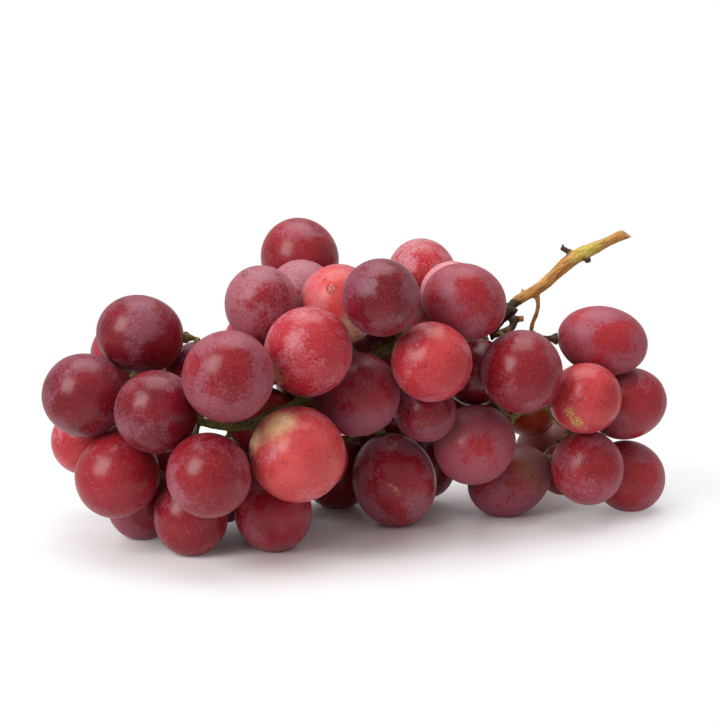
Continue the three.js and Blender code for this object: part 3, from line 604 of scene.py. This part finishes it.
def reach_skins(points):
    """Draws the face of each woody disc down to the skin of its grape."""
    for centre, long, wide, axis, stem in ovals.values():
        away = points - np.array(centre)
        distances = np.linalg.norm(away, axis=1)
        outward = away / distances[:, None]
        along = outward @ np.array(axis)
        gaps = distances - 1 / np.sqrt((1 - along**2) / wide**2 + along**2 / long**2)
        near = (gaps < DISC_NEAR) & (outward @ np.array(stem) > math.cos(DISC_ANGLE))
        share = np.clip((DISC_NEAR - gaps) / DISC_FADE, 0, 1)
        points[near] -= outward[near] * ((gaps - DISC_GAP) * share)[near, None]
    return points


# Dried side twigs deep in the bunch, that show in the gaps between grapes: the pixels that show the
# two ends, and how many millimetres behind the point looked at they lie.
SIDE_TWIGS = [
    ((333, 437), (358, 440), 8),
    ((493, 405), (503, 410), 4),
    ((400, 329), (408, 331), 6),
]
# Where the bark is yellow with sap, and the cut end of the stalk, written as in DRIED.
SAPPY = [(579, 256, 10, 5, 1.5), (588, 251, 10, 5, 1.5), (596, 249, 11, 4, 1.2)]
CUT_END = [(629, 234, 12, 1.6, 4)]


def add_twig(shape, start, end):
    """A tapering twig from a point of the stalk to its dried tip."""
    way = end - start
    turn = Vector((0, 0, 1)).rotation_difference(way).to_matrix().to_4x4()
    place = Matrix.Translation((start + end) / 2) @ turn
    radius = SIDE_TWIG_WIDTH / 2
    sizes = {"radius1": radius, "radius2": radius * SIDE_TWIG_TIP, "depth": way.length + radius}
    bmesh.ops.create_cone(shape, cap_ends=True, segments=10, matrix=place, **sizes)


def stalk_with_twigs():
    """The form of the stalk, with the side twigs that start at the points of it nearest to them."""
    shape = bmesh.new()
    shape.from_mesh(stalk_node.data)
    for first, last, back in SIDE_TWIGS:
        start, end = seen_at(*first, back), seen_at(*last, back)
        nearest = np.argmin(np.linalg.norm(stalk_points - np.array(start), axis=1))
        add_twig(shape, Vector(stalk_points[nearest]), start)
        add_twig(shape, start, end)
    mesh = bpy.data.meshes.new("stalk_with_twigs")
    shape.to_mesh(mesh)
    shape.free()
    return mesh


def grow_together(piece):
    """One smooth skin over the stalk, whose forks run into each other without a seam."""
    remesh = piece.modifiers.new("remesh", "REMESH")
    remesh.mode = "VOXEL"
    remesh.voxel_size = STALK_VOXEL
    soften = piece.modifiers.new("soften", "SMOOTH")
    soften.factor = 0.5
    soften.iterations = 3
    depsgraph = bpy.context.evaluated_depsgraph_get()
    mesh = bpy.data.meshes.new_from_object(piece.evaluated_get(depsgraph))
    piece.modifiers.clear()
    piece.data = mesh
    mesh.name = "stalk_bark"
    return mesh


def raise_ribs(mesh, points, fibre):
    """Shallow ribs that run with the stalk, with the woody discs drawn down to the skins."""
    normals = np.empty(len(mesh.vertices) * 3)
    mesh.vertices.foreach_get("normal", normals)
    normals = normals.reshape(-1, 3)
    moved = points.copy()
    for i, place in enumerate(fibre):
        place = Vector(place)
        rib = noise.noise(place * RIBS_PER_MM) + 0.5 * noise.noise(place * FINE_RIBS_PER_MM)
        moved[i] += normals[i] * rib * RIB_HEIGHT
    mesh.vertices.foreach_set("co", reach_skins(moved).ravel())


def make_stalk():
    piece = bpy.data.objects.new("stalk_bark", stalk_with_twigs())
    bpy.context.scene.collection.objects.link(piece)
    mesh = grow_together(piece)
    points = points_of(mesh)
    way = np.array(STALK_WAY)
    fibre = (points - np.outer(points @ way, way) * FIBRE_RUN) / MM
    raise_ribs(mesh, points, fibre)

    rise = (points - np.array(LOOK_AT)) @ np.array(UP)
    bare = np.clip((points[:, 0] - BARE_RIGHT) / BARE_RIGHT_FADE, 0, 1)
    bare *= np.clip((rise - BARE_ABOVE) / BARE_ABOVE_FADE, 0, 1)
    store(mesh, "fibre", "FLOAT_VECTOR", fibre)
    store(mesh, "green", "FLOAT", 1 - bare)
    store(mesh, "dried", "FLOAT", field(points, DRIED))
    store(mesh, "yellow", "FLOAT", field(points, SAPPY))
    store(mesh, "cut", "FLOAT", field(points, CUT_END))
    mesh.materials.clear()
    mesh.materials.append(stalk_wood("stalk_wood"))
    mesh.polygons.foreach_set("use_smooth", [True] * len(mesh.polygons))
    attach(piece, "root")
    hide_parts("stalk")


make_stalk()


# Surface, light and camera


def make_table():
    shape = bmesh.new()
    bmesh.ops.create_circle(shape, cap_ends=True, segments=64, radius=TABLE_RADIUS)
    mesh = bpy.data.meshes.new("white_table")
    shape.to_mesh(mesh)
    shape.free()
    mesh.materials.append(white_acrylic("white_acrylic"))
    table = bpy.data.objects.new("white_table", mesh)
    bpy.context.scene.collection.objects.link(table)


def soft_box(name, direction, distance, width, height, power):
    """A lamp behind a white cloth, turned to the bunch."""
    data = bpy.data.lights.new(name, "AREA")
    data.shape = "RECTANGLE"
    data.size = width
    data.size_y = height
    data.energy = power
    light = bpy.data.objects.new(name, data)
    light.location = LOOK_AT + Vector(direction).normalized() * distance
    light.rotation_euler = (LOOK_AT - light.location).to_track_quat("-Z", "Y").to_euler()
    bpy.context.scene.collection.objects.link(light)


def make_studio():
    """A dim grey room, with a white backdrop that only the camera sees."""
    world = bpy.data.worlds.new("studio")
    world.use_nodes = True
    tree = world.node_tree
    tree.nodes.clear()
    seen = add(tree, "ShaderNodeLightPath", {}, "Is Camera Ray")
    strength = add(tree, "ShaderNodeMapRange", {"Value": seen, "To Min": ROOM_LIGHT, "To Max": 1.0})
    back = add(tree, "ShaderNodeBackground", {"Color": colour("#ffffff"), "Strength": strength})
    add(tree, "ShaderNodeOutputWorld", {"Surface": back})
    bpy.context.scene.world = world


make_table()
make_studio()
for name, lamp in LAMPS.items():
    soft_box(name, *lamp)
bpy.context.scene.view_settings.view_transform = "Standard"

camera_data = bpy.data.cameras.new("camera")
camera_data.sensor_fit = "HORIZONTAL"
camera_data.lens = camera_data.sensor_width * VIEW_DISTANCE / (PIXEL * PICTURE[0])
camera = bpy.data.objects.new("camera", camera_data)
turn = Matrix((RIGHT, UP, -AHEAD)).transposed().to_4x4()
camera.matrix_world = Matrix.Translation(LOOK_AT - AHEAD * VIEW_DISTANCE) @ turn
bpy.context.scene.collection.objects.link(camera)
bpy.context.scene.camera = camera
